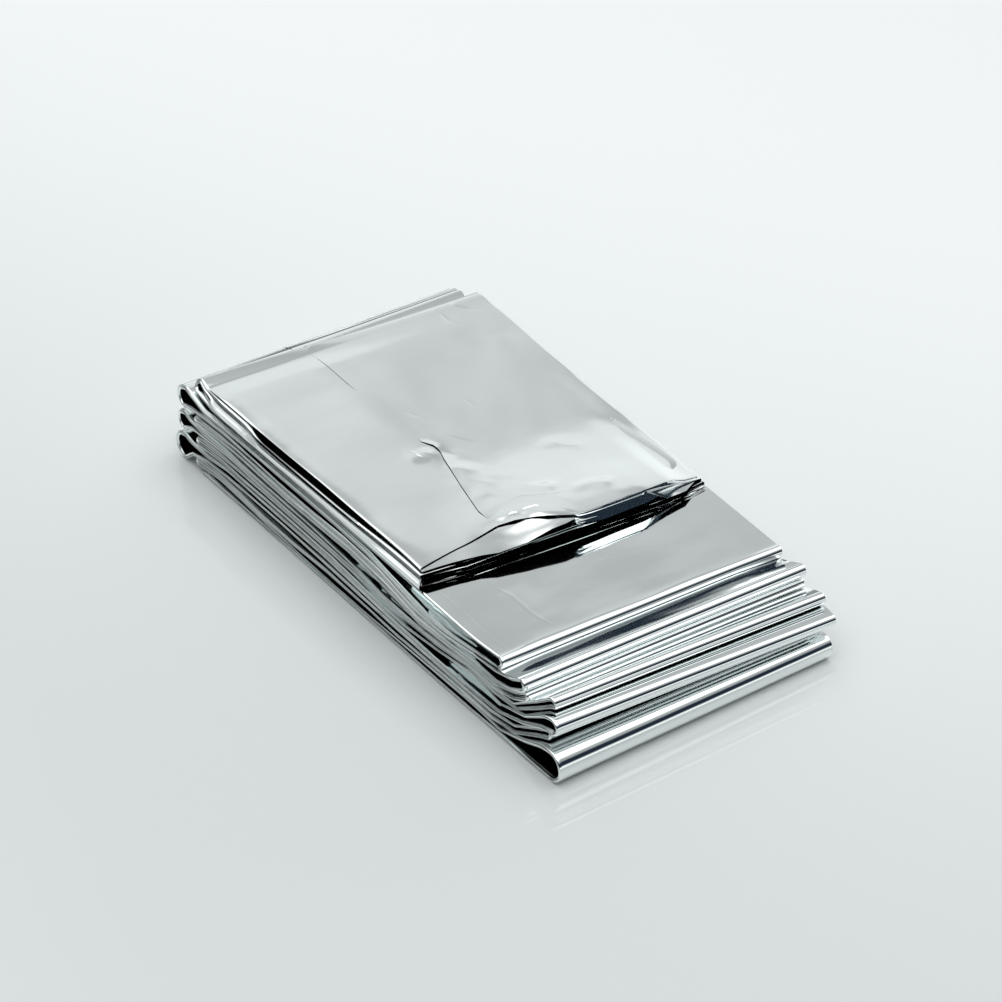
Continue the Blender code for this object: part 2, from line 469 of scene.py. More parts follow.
# %% Lifts
RANK_THICK = 1.1
EDGE_THIN = 0.38
PINCH_SEED = 61
PINCH_WANDER = 130.0
PINCH_FROM = 0.72
PINCH_REACH = 0.28
FOLD_CLEAR = 8.0
FOLD_FADE = 18.0
LIFT_BEND = 0.3
LIFT_SEED = 77
LIFT_WANDER = 210.0

# Shares of the ranks, and the lifts they get where the slot is open
SLOT_RANKS = (0.0, 0.56, 0.62, 0.81, 0.87, 0.94, 1.0)
SLOT_LIFTS = (0.0, 0.24, 0.40, 0.48, 0.96, 0.985, 1.0)
SLOT_BACK_END = 52.0
SLOT_FADE = 7.0
SLOT_TAPER = 0.4
SLOT_TAPER_BACK = 25.0
SLOT_TAPER_LENGTH = 45.0

# Lifts of the plies at the free end, from the lowest to the uppermost
END_LIFTS = (0.0, 0.02, 0.05, 0.17, 0.20, 0.23, 0.37, 0.40, 0.44,
             0.57, 0.60, 0.63, 0.76, 0.79, 0.90, 0.985, 1.0)
END_RIPPLE = 0.05


def bundle_thick(side, run):
    """Height of a panel's bundle, pinched by an uneven hand along the long edges."""
    place = run % STRIP_RUN
    middle = smooth((place - FOLD_CLEAR) / FOLD_FADE) * smooth((STRIP_RUN - FOLD_CLEAR - place) / FOLD_FADE)
    pinch = np.clip(EDGE_THIN * (1.0 + 0.5 * drift(run, PINCH_SEED, PINCH_WANDER)), 0.05, 0.62)
    return RANK_THICK * (1.0 - pinch * middle * smooth((np.abs(side) - PINCH_FROM) / PINCH_REACH))


def bundle_lift(share, run):
    """Lift of a ply in an ordinary panel, from its share of the ranks."""
    return share ** np.exp(LIFT_BEND * drift(run, LIFT_SEED, LIFT_WANDER))


def loose_lift(share, x, y, spread):
    """Lift of a ply in the top panel."""
    taper = SLOT_TAPER * smooth((SLOT_TAPER_BACK - y) / SLOT_TAPER_LENGTH)
    slot = smooth((SLOT_BACK_END - y) / SLOT_FADE) * (1.0 - taper)
    body = mix(share, np.interp(share, SLOT_RANKS, SLOT_LIFTS), slot)
    end = np.interp(share, np.linspace(0.0, 1.0, PLIES), END_LIFTS)
    middle = 4.0 * share * (1.0 - share)
    end = end + END_RIPPLE * middle * np.sin(x / 4.3 + 9.0 * share) * smooth((x + 34.0) / 10.0)
    return mix(body, end, spread)


# %% [markdown]
# ## The free end of the top panel
#
# At the cut end the plies stand apart like the pages of a book. The edge table gives, at a few
# places across the strip, how high the top ply stands, where it ends, and where the lowest ply
# touches the panel under it. The top ply's end hangs down over the others as a lip, and on the
# left the two uppermost plies are cut back, so that a step shows.

# %% Shape of the free end
EndEdge = namedtuple("EndEdge", "x height top_y foot_y lip")
END_EDGES = (
    EndEdge(-37.0, 3.4, -17.6, -20.9, 0.0),
    EndEdge(-34.6, 3.4, -17.9, -21.2, 0.0),
    EndEdge(-27.6, 3.5, -19.5, -22.6, 0.0),
    EndEdge(-20.7, 3.6, -21.3, -23.3, 0.0),
    EndEdge(-13.3, 4.2, -23.2, -24.4, 0.0),
    EndEdge(-6.3, 5.0, -24.1, -25.2, 0.0),
    EndEdge(-0.7, 5.7, -23.9, -25.0, 1.2),
    EndEdge(4.1, 6.0, -23.7, -24.8, 2.8),
    EndEdge(10.3, 6.0, -24.2, -25.4, 3.4),
    EndEdge(15.9, 6.0, -24.2, -25.9, 3.5),
    EndEdge(21.5, 5.7, -24.3, -26.2, 3.3),
    EndEdge(29.5, 4.7, -23.5, -26.4, 2.3),
    EndEdge(34.1, 2.8, -23.2, -26.1, 0.9),
    EndEdge(38.5, 1.8, -22.6, -25.4, 0.0),
)
SPREAD_LENGTH = 44.0

# How steeply the lip hangs, and how many of the panel's rows it takes
LIP_STEEP = math.radians(80.0)
LIP_ROWS = 7

# Height of the loose bundle away from its end, across the strip
BodyHeight = namedtuple("BodyHeight", "x height")
BODY_HEIGHTS = (BodyHeight(-36.0, 3.05), BodyHeight(-10.0, 2.80), BodyHeight(-2.0, 2.45),
                BodyHeight(8.0, 2.20), BodyHeight(27.0, 1.80), BodyHeight(39.0, 1.60))
CLOSE_LENGTH = 9.0

# Ends of the two uppermost plies on the left, as places (x, y) on the film
CutPoint = namedtuple("CutPoint", "x y")
TOP_PLY_END = (CutPoint(-12.8, -15.3), CutPoint(-9.1, -14.2), CutPoint(-6.3, -13.3),
               CutPoint(-3.4, -15.4), CutPoint(-1.6, -15.3), CutPoint(1.0, -18.5),
               CutPoint(2.5, -21.9), CutPoint(4.2, -23.6))
SECOND_PLY_END = (CutPoint(-35.0, -17.7), CutPoint(-25.5, -16.5), CutPoint(-18.9, -15.9),
                  CutPoint(-12.0, -15.0), CutPoint(-6.0, -17.0), CutPoint(0.0, -21.5), CutPoint(3.5, -23.6))

# Left edge of the uppermost ply, from back to front
MID_EDGE = (CutPoint(-7.0, 70.0), CutPoint(-7.4, 48.3), CutPoint(-7.2, 28.0), CutPoint(-6.4, 24.1),
            CutPoint(-6.4, 19.5), CutPoint(-6.8, 16.7), CutPoint(-5.2, 14.2), CutPoint(-5.3, 11.3),
            CutPoint(-7.2, 4.5), CutPoint(-9.3, -3.2), CutPoint(-12.2, -15.0), CutPoint(-12.6, -26.0))
MID_EDGE_REACH = 9.0
TOP_CUT_RIGHT = 4.2
SECOND_CUT_RIGHT = 3.5
SECOND_NOTCH = 2.3


def table_value(rows, key, name, place):
    """A column of a table, read between its rows."""
    ordered = sorted(rows, key=lambda row: getattr(row, key))
    return np.interp(place, [getattr(row, key) for row in ordered], [getattr(row, name) for row in ordered])


def edge_value(name, x):
    return table_value(END_EDGES, "x", name, x)


def end_place(x, lift):
    """Y of every ply's cut end."""
    place = mix(edge_value("foot_y", x), edge_value("top_y", x), lift)
    ragged = 0.28 * np.sin(x / 2.9 + 40.0 * lift) + 0.2 * np.sin(x / 1.3 + 71.0 * lift)
    place = place + np.where((lift > 0.05) & (lift < 0.9), ragged, 0.0)
    top_cut = np.where(x < TOP_CUT_RIGHT, table_value(TOP_PLY_END, "x", "y", x), place)
    second_cut = np.where(x < SECOND_CUT_RIGHT, table_value(SECOND_PLY_END, "x", "y", x), place)
    second_cut = second_cut - SECOND_NOTCH * smooth((x - 23.0) / 4.0) * smooth((37.0 - x) / 3.0)
    turning = turns | (np.abs(sides) > 0.999)
    place = np.where((plies == TOP_PLY) & ~turning, top_cut, place)
    return np.where((plies == SECOND_PLY) & ~turns, second_cut, place)


print("free end has", len(END_EDGES), "places across")

# %% [markdown]
# ## Creases and dents
#
# Film remembers every crease. Each one is a soft ridge or trough laid along a short line, with its
# own width and height, and each dent is a small round hollow. They are placed one by one where the
# real pack has its main ones, and slow waves fill in between them.

# %% Creases of the top panel and the one below
Crease = namedtuple("Crease", "x0 y0 x1 y1 width height")
TOP_CREASES = (
    Crease(-31.4, 70.0, -30.6, -17.0, 1.1, 0.05),
    Crease(24.2, 56.0, 37.5, 44.5, 3.0, -0.08),
    Crease(15.3, 7.6, 24.0, -0.6, 1.8, 0.14),
    Crease(-5.0, 12.0, -6.6, -6.0, 2.2, 0.28),
    Crease(-2.0, 3.0, 3.0, -1.5, 1.4, 0.12),
    Crease(-3.0, -6.5, 8.0, -11.0, 1.8, 0.20),
    Crease(8.0, -13.5, 19.0, -17.0, 1.6, 0.18),
    Crease(36.9, 30.0, 36.6, 6.0, 0.9, 0.06),
)
SECOND_CREASES = (
    Crease(-33.4, -24.0, -33.0, -49.5, 0.6, 0.05),
    Crease(-22.0, -29.0, -20.0, -47.0, 1.2, 0.10),
)


def crease_height(creases, x, y):
    """Summed height of soft ridges, each fading out at its two ends."""
    total = 0.0
    for crease in creases:
        run_x, run_y = crease.x1 - crease.x0, crease.y1 - crease.y0
        length = math.hypot(run_x, run_y)
        along = ((x - crease.x0) * run_x + (y - crease.y0) * run_y) / length
        off = ((y - crease.y0) * run_x - (x - crease.x0) * run_y) / length
        off = off + 0.25 * crease.width * np.sin(along * 0.9)
        fade = smooth(along / (0.2 * length)) * smooth((length - along) / (0.2 * length))
        total = total + crease.height * fade * np.exp(-(off / crease.width) ** 2)
    return total


def waves(x, y, seed, length, count=7):
    """Soft waves of about one wavelength in all directions, with a height near 1."""
    draw = np.random.default_rng(seed)
    total = 0.0
    for _ in range(count):
        turn = draw.uniform(0.0, math.pi)
        scale = 2.0 * math.pi / (length * draw.uniform(0.7, 1.5))
        along = x * math.cos(turn) + y * math.sin(turn)
        total = total + np.sin(along * scale + draw.uniform(0.0, 2.0 * math.pi))
    return total / math.sqrt(count)


def near(x, y, x0, y0, size):
    """A soft spot that is 1 at its middle."""
    return np.exp(-((x - x0) ** 2 + (y - y0) ** 2) / size ** 2)


print("creases:", len(TOP_CREASES) + len(SECOND_CREASES))

# %% [markdown]
# ## Relief of the surfaces that show
#
# A narrow strip along the left edge tips down towards it, and so mirrors another part of the room.
# The film is crumpled just behind the free end, and dented where the uppermost ply's edge is kinked.

# %% Relief
STRIP_RIGHT = -33.0
STRIP_SLOPE = 0.095
STRIP_MOST = 4.5


def top_relief(x, y):
    """Height added to the plies of the top panel, in full to the uppermost one."""
    strip = -STRIP_SLOPE * np.clip(STRIP_RIGHT - x, 0.0, STRIP_MOST)
    soft = 0.055 * waves(x, y, 5, 30.0) + 0.010 * waves(x, y, 9, 9.0) * smooth((x + 6.0) / 8.0)
    peak = 0.5 * near(x, y, -3.5, -16.5, 2.4)
    crumple = near(x, y, -5.5, -18.0, 6.0) * (0.30 * waves(x, y, 21, 6.5) + peak)
    kink = 0.45 * near(x, y, -9.0, 17.5, 2.2) - 0.2 * near(x, y, -4.5, 16.0, 2.2)
    return strip + soft + crumple + kink + crease_height(TOP_CREASES, x, y)


def second_relief(x, y):
    soft = 0.035 * waves(x, y, 31, 26.0) + 0.008 * waves(x, y, 33, 11.0)
    return soft + crease_height(SECOND_CREASES, x, y)


def mid_edge_shift(y):
    """How far the uppermost ply's left edge lies from its straight place."""
    straight = TOP_PLY_START * (STRIP_WIDTH / 2.0 - FOLD_RIM) + stray(1, TOP_PLY_START, y)
    return table_value(MID_EDGE, "y", "x", y) - straight


print("relief at the long crease:", round(float(top_relief(-31.0, 20.0)), 3), "mm")

# %% [markdown]
# ## Folding the grid
#
# Each block of rows is a panel or a fold. For a block the middle surface and its normal are worked
# out under every column, then each ply steps off that surface by its place in the stack. Turns at
# the long edges are half circles between two plies, drawn in the plane of the normal.

# %% Folding the ordinary panels
TURN_REACH_MOST = 0.6
SLOPE_STEP = 0.05
SECOND_RELIEF_FADE = 9.0


def half_turns(here, there):
    """Stack offset and outward reach of every column, from the heights of its ply and the next."""
    middle, radius = (here + there) / 2.0, (here - there) / 2.0
    offset = np.where(turns, middle + radius * np.cos(angles), here)
    reach = np.where(turns, np.minimum(np.abs(radius), TURN_REACH_MOST) * np.sin(angles), 0.0)
    return offset, reach


def ply_places(run):
    """The same for an ordinary panel, whose plies lie about its middle surface."""
    thick = bundle_thick(sides, run)
    return half_turns((bundle_lift(ranks, run) - 0.5) * thick, (bundle_lift(next_ranks, run) - 0.5) * thick)


def place_across(reach, run):
    return sides * (STRIP_WIDTH / 2.0 - FOLD_RIM) + np.sign(sides) * reach + edge_insets(run)


def fold_panel(panel):
    """Points of one panel's rows, from the second panel on."""
    shares = panel_shares(panel)[:, None]
    start = turn_centre(FOLDS[panel - 2], sides)
    end = BOTTOM_END if panel == PANELS else turn_centre(FOLDS[panel - 1], sides)
    heading = 1.0 if panel % 2 else -1.0
    y = mix(start, end, shares)
    z = level(panel, sides, y)
    rise = level(panel, sides, y + SLOPE_STEP) - level(panel, sides, y - SLOPE_STEP)
    slope = rise / (2.0 * SLOPE_STEP)
    length = np.sqrt(1.0 + slope * slope)
    run = run_along(panel, y)
    offset, reach = ply_places(run)
    x = place_across(reach, run) + stray(panel, sides, y) + roll_inset(panel, sides, y)
    if panel == 2:
        z = z + second_relief(x, y) * smooth((turn_centre(FOLDS[0], sides) - y) / SECOND_RELIEF_FADE)
    return x, y - offset * slope / length * heading, z + offset * heading / length


def fold_turn(fold):
    """Points of one fold's rows."""
    turn = fold_angles(fold)[:, None]
    centre = turn_centre(fold, sides)
    upper, lower = level(fold.upper, sides, centre), level(fold.upper + 1, sides, centre)
    radius = (upper - lower) / 2.0
    run = np.full((len(turn), 1), fold.upper * STRIP_RUN)
    offset, reach = ply_places(run)
    away = radius + offset * fold.side
    y = centre + fold.side * away * np.sin(turn)
    z = (upper + lower) / 2.0 + away * np.cos(turn)
    shift = mix(stray(fold.upper, sides, y), stray(fold.upper + 1, sides, y), turn / math.pi)
    if fold.side == FRONT:
        shift = shift + roll_inset(fold.upper, sides, y)
    return place_across(reach, run) + shift, y, z


# %% [markdown]
# ## The top panel, seen from above
#
# The top panel is worked out apart. Its lower plies reach further to the left than the upper
# ones, as they do on the real pack, and the uppermost ply's left edge follows its own table. Each
# ply starts where it is cut. The uppermost one is longer there, and what is too long hangs down
# as the lip.

# %% Places on the top panel
LEFT_LEAN = 1.9
FREE_END = -23.0


def top_across(end, shares):
    """X of the top panel's points, and how far each lies from the uppermost ply's left edge."""
    guess = mix(FREE_END, end, shares)
    left_share = smooth((-sides - 0.3) / 0.7)
    x = sides * (STRIP_WIDTH / 2.0 - FOLD_RIM) + stray(1, sides, guess)
    x = x - LEFT_LEAN * (1.0 - ranks) * left_share * smooth((end - guess) / 12.0)
    from_edge = (sides - TOP_PLY_START) * STRIP_WIDTH / 2.0
    pulled = np.where(uppermost, 1.0 - smooth(from_edge / MID_EDGE_REACH), 0.0)
    return x + pulled * mid_edge_shift(guess), from_edge


def top_along(x, end, shares):
    """Y where each ply is cut, Y of the points, and how far they hang down in the lip."""
    lip_share = float(panel_shares(1)[LIP_ROWS])
    start = end_place(x, ranks)
    lip = np.where(uppermost, edge_value("lip", x), 0.0)
    whole = end - start + lip
    bend = np.maximum(lip, lip_share * whole)
    arc = np.where(shares < lip_share, shares / lip_share * bend,
                   mix(bend, whole, (shares - lip_share) / (1.0 - lip_share)))
    ahead = arc - lip
    y = start + np.maximum(ahead, 0.0) + math.cos(LIP_STEEP) * np.minimum(ahead, 0.0)
    return start, y, np.maximum(-ahead, 0.0) * math.sin(LIP_STEEP)


print("lip bends at row", LIP_ROWS, "of", len(panel_shares(1)))

# %% [markdown]
# ## The top panel, seen from the side
#
# The bundle's height comes from the two tables: one for the free end, one for the body behind it.
# Towards the back fold it closes to the thickness of an ordinary panel.

# %% Heights and folding of the top panel
EDGE_LIFT = 0.2
EDGE_SINK = 0.07
TIP_CURL = 0.15
TIP_LENGTH = 0.5
END_SETTLE = 0.3


def loose_height(x, y, start, spread, closed):
    """Height of the bundle. On the right the lower plies stay under the lip."""
    height = mix(table_value(BODY_HEIGHTS, "x", "height", x), edge_value("height", x), spread)
    height = mix(height, RANK_THICK, closed)
    under_lip = edge_value("lip", x) * smooth((x - 22.0) / 5.0)
    lower_height = height - under_lip * smooth(1.0 - (y - start) / 9.0)
    return np.where(uppermost, height, lower_height)


def edge_rise(y, from_edge):
    """The uppermost ply's left edge stands up along its kinked stretch and is pressed down elsewhere."""
    kinked = smooth((25.0 - y) / 5.0) * smooth((y + 13.0) / 6.0)
    inside = np.clip(from_edge, 0.0, None)
    rise = EDGE_LIFT * kinked * np.exp(-inside / 1.8)
    return np.where(uppermost, rise - EDGE_SINK * (1.0 - kinked) * np.exp(-inside / 4.0), 0.0)


def fold_top_panel():
    """Points of the top panel's rows."""
    shares = panel_shares(1)[:, None]
    end = turn_centre(FOLDS[0], sides)
    x, from_edge = top_across(end, shares)
    start, y, drop = top_along(x, end, shares)
    run = run_along(1, y)
    spread = smooth(1.0 - (y - edge_value("top_y", x)) / SPREAD_LENGTH) ** 1.5
    closed = smooth(1.0 - (end - y) / CLOSE_LENGTH)
    height = loose_height(x, y, start, spread, closed)

    def lift_of(share):
        return mix(loose_lift(share, x, y, spread), bundle_lift(share, run), closed)

    offset, reach = half_turns(lift_of(ranks) * height, lift_of(next_ranks) * height)
    x = x + np.sign(sides) * reach + edge_insets(run)
    base = level(1, sides, y) - RANK_THICK / 2.0 - END_SETTLE * spread
    relief = top_relief(x, y) * (1.0 - closed) * ranks
    near_cut = np.clip(1.0 - (y - start) / TIP_LENGTH, 0.0, 1.0) ** 2
    curl = TIP_CURL * near_cut * np.sin(x / 3.7 + 23.0 * ranks) * (ranks < 0.86)
    return x, y, base + offset + relief - drop - np.maximum(curl, -0.05) + edge_rise(y, from_edge)


blocks = []
for panel in range(1, PANELS + 1):
    blocks.append(fold_top_panel() if panel == 1 else fold_panel(panel))
    if panel < PANELS:
        blocks.append(fold_turn(FOLDS[panel - 1]))
folded = np.stack([np.concatenate([block[axis] for block in blocks]) for axis in range(3)], axis=-1)
print("folded points:", folded.shape, "lowest", round(float(folded[..., 2].min()), 2), "mm")

# %% [markdown]
# ## The sheet
#
# The sheet starts as one flat grid with its own UV map, named flat. The folded points
# then take the place of the flat ones, so no face or edge is made by hand.

# %% Sheet from the grid
SHARP_FROM = math.radians(62.0)
FLOOR_CLEARANCE = 0.02


def build_sheet(points):
    rows, columns = points.shape[:2]
    grid = bmesh.new()
    grid.loops.layers.uv.new("flat")
    bmesh.ops.create_grid(grid, x_segments=columns - 1, y_segments=rows - 1, size=0.5, calc_uvs=True)
    mesh = bpy.data.meshes.new("foil_film")
    grid.to_mesh(mesh)
    grid.free()
    place = points + np.array([SHIFT_X, SHIFT_Y, 0.0])
    place[..., 2] = np.maximum(place[..., 2], FLOOR_CLEARANCE)
    mesh.vertices.foreach_set("co", (place * MM).reshape(-1))
    mesh.shade_smooth()
    mesh.set_sharp_from_angle(angle=SHARP_FROM)
    mesh.update()
    film = bpy.data.objects.new("foil_film", mesh)
    bpy.context.scene.collection.objects.link(film)
    return film


film = build_sheet(folded)
print("sheet faces:", len(film.data.polygons))

# %% [markdown]
# ## Building blocks for the finish
#
# The materials and the room are made of a few kinds of nodes, so each kind gets a short function.

# %% Helpers for nodes
def noise_at(nodes, links, place, turn, scale, detail):
    """A noise in millimetres of the object, turned and drawn out by its scale along three axes."""
    mapping = nodes.new("ShaderNodeMapping")
    mapping.inputs["Rotation"].default_value = (0.0, 0.0, math.radians(turn))
    mapping.inputs["Scale"].default_value = scale
    noise = nodes.new("ShaderNodeTexNoise")
    noise.inputs["Scale"].default_value = 1.0
    noise.inputs["Detail"].default_value = detail
    links.new(place.outputs["Object"], mapping.inputs["Vector"])
    links.new(mapping.outputs["Vector"], noise.inputs["Vector"])
    return noise.outputs["Fac"]


def math_node(nodes, links, operation, first, second):
    """A Math node whose inputs are sockets or plain numbers."""
    node = nodes.new("ShaderNodeMath")
    node.operation = operation
    for socket, value in zip(node.inputs, (first, second)):
        if isinstance(value, (int, float)):
            socket.default_value = value
        else:
            links.new(value, socket)
    return node.outputs["Value"]


def remap(nodes, links, value, source, target=(0.0, 1.0), interpolation="LINEAR"):
    """A value moved from one pair of numbers to another, where the pairs may run downwards."""
    ramp = nodes.new("ShaderNodeMapRange")
    ramp.interpolation_type = interpolation
    for name, number in zip(("From Min", "From Max", "To Min", "To Max"), (*source, *target)):
        ramp.inputs[name].default_value = number
    links.new(value, ramp.inputs["Value"])
    return ramp.outputs["Result"]


def towards(nodes, links, direction, way):
    """How far a vector points along a fixed way."""
    dot = nodes.new("ShaderNodeVectorMath")
    dot.operation = "DOT_PRODUCT"
    dot.inputs[1].default_value = way
    links.new(direction, dot.inputs[0])
    return dot.outputs["Value"]


print("node helpers are ready")

# %% [markdown]
# ## Fine creases
#
# The finest creases are too narrow for the grid, so the material raises them. One node group
# holds the shape of a crease, and each row of the table is one use of it. The distance from the
# line is bowed by a sine, because a real crease is never quite straight.

# %% A node group for one crease
Line = namedtuple("Line", "x0 y0 x1 y1 width height")
FINE_CREASES = (
    Line(30.1, 67.2, 38.2, 59.1, 1.4, 0.030), Line(26.5, 66.5, 28.5, 57.5, 1.3, 0.025),
    Line(10.8, 32.0, 13.0, 27.0, 0.8, 0.020), Line(-4.0, 34.6, 0.1, 29.5, 1.0, 0.020),
    Line(-2.2, 23.3, 6.8, 12.6, 0.8, 0.020), Line(15.3, 7.6, 22.7, 0.2, 1.0, 0.020),
    Line(-4.6, -8.4, 8.7, -14.8, 1.2, 0.030), Line(-12.2, 21.6, -8.5, 15.2, 0.9, 0.050),
    Line(-33.4, -23.0, -33.0, -49.5, 0.5, 0.012), Line(-22.3, -29.0, -19.8, -47.5, 1.0, 0.025),
)


def crease_group():
    """Height of one crease, full along its middle and nothing at its two ends."""
    group = bpy.data.node_groups.new("fine_crease", "ShaderNodeTree")
    nodes, links = group.nodes, group.links
    for name in ("Place", "Start", "Way"):
        group.interface.new_socket(name, in_out="INPUT", socket_type="NodeSocketVector")
    for name in ("Length", "Width", "Height"):
        group.interface.new_socket(name, in_out="INPUT", socket_type="NodeSocketFloat")
    group.interface.new_socket("Height", in_out="OUTPUT", socket_type="NodeSocketFloat")
    given = nodes.new("NodeGroupInput").outputs

    def vector(operation, first, second):
        node = nodes.new("ShaderNodeVectorMath")
        node.operation = operation
        links.new(first, node.inputs[0])
        links.new(second, node.inputs[1])
        return node.outputs

    def number(operation, first, second):
        return math_node(nodes, links, operation, first, second)

    from_start = vector("SUBTRACT", given["Place"], given["Start"])["Vector"]
    along = vector("DOT_PRODUCT", from_start, given["Way"])["Value"]
    sideways = nodes.new("ShaderNodeSeparateXYZ")
    links.new(vector("CROSS_PRODUCT", from_start, given["Way"])["Vector"], sideways.inputs["Vector"])
    share = number("DIVIDE", along, given["Length"])
    bow = number("SINE", number("MULTIPLY", share, 7.0), 0.0)
    bow = number("MULTIPLY", bow, number("MULTIPLY", given["Width"], 0.4))
    distance = number("ABSOLUTE", number("ADD", sideways.outputs["Z"], bow), 0.0)
    narrow = number("DIVIDE", distance, given["Width"])
    ridge = number("MAXIMUM", number("SUBTRACT", 1.0, narrow), 0.0)
    ridge = number("MULTIPLY", ridge, ridge)
    fade = number("MAXIMUM", number("MULTIPLY", share, number("SUBTRACT", 1.0, share)), 0.0)
    height = number("MULTIPLY", ridge, number("MULTIPLY", fade, 4.0))
    result = nodes.new("NodeGroupOutput")
    links.new(number("MULTIPLY", height, given["Height"]), result.inputs["Height"])
    return group


def crease_heights(nodes, links, place, group):
    """All the fine creases added up."""
    total = None
    for line in FINE_CREASES:
        run = Vector((line.x1 - line.x0, line.y1 - line.y0, 0.0))
        crease = nodes.new("ShaderNodeGroup")
        crease.node_tree = group
        crease.inputs["Start"].default_value = ((line.x0 + SHIFT_X) * MM, (line.y0 + SHIFT_Y) * MM, 0.0)
        crease.inputs["Way"].default_value = run.normalized()
        crease.inputs["Length"].default_value = run.length * MM
        crease.inputs["Width"].default_value = line.width * MM
        crease.inputs["Height"].default_value = line.height * MM
        links.new(place.outputs["Object"], crease.inputs["Place"])
        height = crease.outputs["Height"]
        total = height if total is None else math_node(nodes, links, "ADD", total, height)
    return total


print("fine creases:", len(FINE_CREASES))

# %% [markdown]
# ## The film's finish
#
# Vacuum metallised film is a mirror with hardly any haze. What makes it read as film is its
# relief: long faint wrinkles, small pimples that tremble in the reflections, and the fine creases.
# Two noises give the first two, and a third makes the mirror hazier in places.

# %% Film material
FILM_COLOR = (0.872, 0.905, 0.905, 1.0)
WRINKLE_HEIGHT = 0.00006
PIMPLE_HEIGHT = 0.0000025
HAZE_RANGE = (0.35, 0.7)
ROUGHNESS_RANGE = (0.03, 0.08)


def film_relief(nodes, links, place):
    """Height of the film's relief in metres."""
    wrinkles = noise_at(nodes, links, place, 38.0, (40.0, 95.0, 70.0), 2.0)
    pimples = noise_at(nodes, links, place, 0.0, (620.0, 620.0, 620.0), 1.5)
    height = math_node(nodes, links, "MULTIPLY", wrinkles, WRINKLE_HEIGHT)
    pimples = math_node(nodes, links, "MULTIPLY", pimples, PIMPLE_HEIGHT)
    height = math_node(nodes, links, "ADD", height, pimples)
    return math_node(nodes, links, "ADD", height, crease_heights(nodes, links, place, crease_group()))


def film_material():
    material = bpy.data.materials.new("mirror_film")
    material.use_nodes = True
    nodes, links = material.node_tree.nodes, material.node_tree.links
    surface = nodes["Principled BSDF"]
    surface.inputs["Base Color"].default_value = FILM_COLOR
    surface.inputs["Metallic"].default_value = 1.0
    place = nodes.new("ShaderNodeTexCoord")
    bump = nodes.new("ShaderNodeBump")
    bump.inputs["Distance"].default_value = 1.0
    links.new(film_relief(nodes, links, place), bump.inputs["Height"])
    links.new(bump.outputs["Normal"], surface.inputs["Normal"])
    haze = noise_at(nodes, links, place, 20.0, (45.0, 70.0, 60.0), 2.0)
    links.new(remap(nodes, links, haze, HAZE_RANGE, ROUGHNESS_RANGE), surface.inputs["Roughness"])
    return material


film.data.materials.append(film_material())
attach(film, "root")
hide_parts("foil_blanket")
print("film rides on root")

# %% [markdown]
# ## The floor
#
# The pack lies on a glossy white board. Its colour is painted darker towards the front and the left and
# brighter towards the back and the right, as painted shade and light, and it shows a weak mirror image of
# the pack's edges.

# %% Floor
FLOOR_SIZE = 6.0
# Painted shade and painted light: the board's colour runs from the darker tone at the front left to the
# brighter one at the back right
FLOOR_PAINTED_SHADE = (0.728, 0.762, 0.756, 1.0)
FLOOR_PAINTED_LIGHT = (0.955, 0.975, 0.980, 1.0)
FLOOR_ROUGHNESS = 0.03
PAINTED_LIGHT_WAY = (0.90, 0.43, 0.0)
PAINTED_LIGHT_RANGE = (-0.12, 0.20)


def add_floor():
    shape = bmesh.new()
    bmesh.ops.create_grid(shape, x_segments=1, y_segments=1, size=FLOOR_SIZE / 2.0)
    mesh = bpy.data.meshes.new("floor")
    shape.to_mesh(mesh)
    shape.free()
    floor = bpy.data.objects.new("floor", mesh)
    bpy.context.scene.collection.objects.link(floor)
    material = bpy.data.materials.new("pale_floor")
    material.use_nodes = True
    nodes, links = material.node_tree.nodes, material.node_tree.links
    surface = nodes["Principled BSDF"]
    surface.inputs["Roughness"].default_value = FLOOR_ROUGHNESS
    place = nodes.new("ShaderNodeTexCoord").outputs["Object"]
    # Painted light falloff: the floor's colour is mixed from painted shade to painted light along this way
    along = towards(nodes, links, place, PAINTED_LIGHT_WAY)
    share = remap(nodes, links, along, PAINTED_LIGHT_RANGE, interpolation="SMOOTHSTEP")
    tone = nodes.new("ShaderNodeMix")
    tone.data_type = "RGBA"
    tone.inputs["A"].default_value = FLOOR_PAINTED_SHADE
    tone.inputs["B"].default_value = FLOOR_PAINTED_LIGHT
    links.new(share, tone.inputs["Factor"])
    links.new(tone.outputs["Result"], surface.inputs["Base Color"])
    mesh.materials.append(material)
    return floor


floor = add_floor()
print("floor is", FLOOR_SIZE, "m wide")

# %% [markdown]
# ## The room
#
# A mirror shows only its surroundings, so the room is the second half of the finish. It is a
# white tent that gets darker with height, up to a bright lamp overhead. Six zones lie over it,
# each with its tone: a greyer far side on the right, a lamp behind on the left, a grey line low
# down at the back, a lamp high in front, a dark front, and a dark left side. Round folds turn
# through all of them, which draws the white and black lines along every roll and edge.

# %% Tones of the room
Tone = namedtuple("Tone", "place light")
TENT = (Tone(0.0, 1.05), Tone(0.22, 0.98), Tone(0.36, 0.86), Tone(0.54, 0.80), Tone(0.586, 0.72),
        Tone(0.615, 0.54), Tone(0.67, 0.47), Tone(0.79, 0.54), Tone(0.85, 1.75), Tone(1.0, 1.6))
TENT_TINT = (0.97, 1.0, 1.005)
FAR_SIDE = (0.46, 0.475, 0.48, 1.0)
BACK_LAMP = (1.6, 1.62, 1.62, 1.0)
BACK_LINE = (0.20, 0.21, 0.21, 1.0)
FRONT_LAMP = (1.8, 1.82, 1.82, 1.0)
DARK_FRONT = (0.016, 0.026, 0.040, 1.0)
DARK_LEFT = (0.006, 0.009, 0.010, 1.0)
TO_BACK = (0.0, 1.0, 0.0)
TO_BACK_RIGHT = (0.47, 0.88, 0.0)
TO_FRONT = (0.25, -0.97, 0.0)
TO_LEFT = (-0.97, 0.25, 0.0)


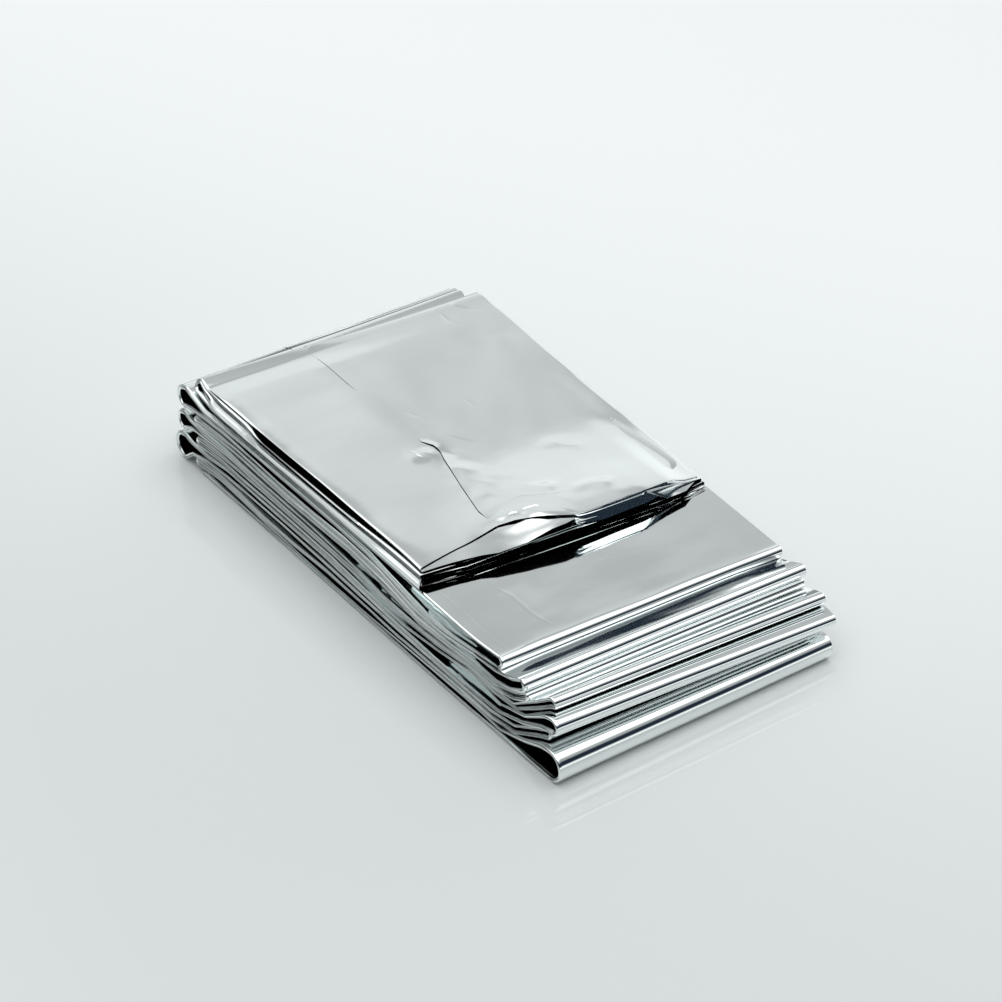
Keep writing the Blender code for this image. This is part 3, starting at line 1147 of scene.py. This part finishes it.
def tent_color(nodes, links, height):
    tent = nodes.new("ShaderNodeValToRGB")
    while len(tent.color_ramp.elements) < len(TENT):
        tent.color_ramp.elements.new(0.5)
    for element, tone in zip(tent.color_ramp.elements, TENT):
        element.position = tone.place
        element.color = (*(tone.light * tint for tint in TENT_TINT), 1.0)
    links.new(height, tent.inputs["Fac"])
    return tent.outputs["Color"]


def layer(nodes, links, under, mask, color):
    blend = nodes.new("ShaderNodeMix")
    blend.data_type = "RGBA"
    blend.inputs["B"].default_value = color
    links.new(mask, blend.inputs["Factor"])
    links.new(under, blend.inputs["A"])
    return blend.outputs["Result"]


print("tent has", len(TENT), "tones of height")

# %% [markdown]
# ## Zones of the room
#
# A zone is a product of soft edges. Each edge is a value of the viewing direction, the place where
# the zone begins and the place where it is full. The later zones lie over the earlier ones.

# %% World
def studio_world():
    world = bpy.data.worlds.new("studio")
    bpy.context.scene.world = world
    world.use_nodes = True
    nodes, links = world.node_tree.nodes, world.node_tree.links
    direction = nodes.new("ShaderNodeTexCoord").outputs["Generated"]
    split = nodes.new("ShaderNodeSeparateXYZ")
    links.new(direction, split.inputs["Vector"])
    sideways, height = split.outputs["X"], split.outputs["Z"]
    back, back_right, front, left = (
        towards(nodes, links, direction, way) for way in (TO_BACK, TO_BACK_RIGHT, TO_FRONT, TO_LEFT))

    def zone(*edges):
        mask = 1.0
        for value, begins, full in edges:
            edge = remap(nodes, links, value, (begins, full), interpolation="SMOOTHSTEP")
            mask = math_node(nodes, links, "MULTIPLY", mask, edge)
        return mask

    zones = (
        (FAR_SIDE, zone((sideways, 0.42, 0.61), (height, 0.42, 0.50), (height, 0.78, 0.72),
                        (back, 0.0, 0.3))),
        (BACK_LAMP, zone((sideways, 0.39, 0.28), (sideways, -0.22, -0.10), (height, 0.58, 0.63),
                         (back, 0.1, 0.3))),
        (BACK_LINE, zone((back_right, 0.80, 0.90), (height, 0.26, 0.18), (height, 0.02, 0.07),
                         (sideways, 0.60, 0.52))),
        (FRONT_LAMP, zone((back, 0.15, -0.1), (height, 0.66, 0.80))),
        (DARK_FRONT, zone((front, 0.25, 0.5), (height, 0.70, 0.44), (height, 0.02, 0.22))),
        (DARK_LEFT, zone((left, 0.25, 0.45), (height, 0.62, 0.54), (height, -0.02, 0.01))),
    )
    color = tent_color(nodes, links, height)
    for tone, mask in zones:
        color = layer(nodes, links, color, mask, tone)
    links.new(color, nodes["Background"].inputs["Color"])
    return len(zones)


zone_count = studio_world()
bpy.context.scene.view_settings.view_transform = "Standard"
print("room has", zone_count, "zones over the tent")
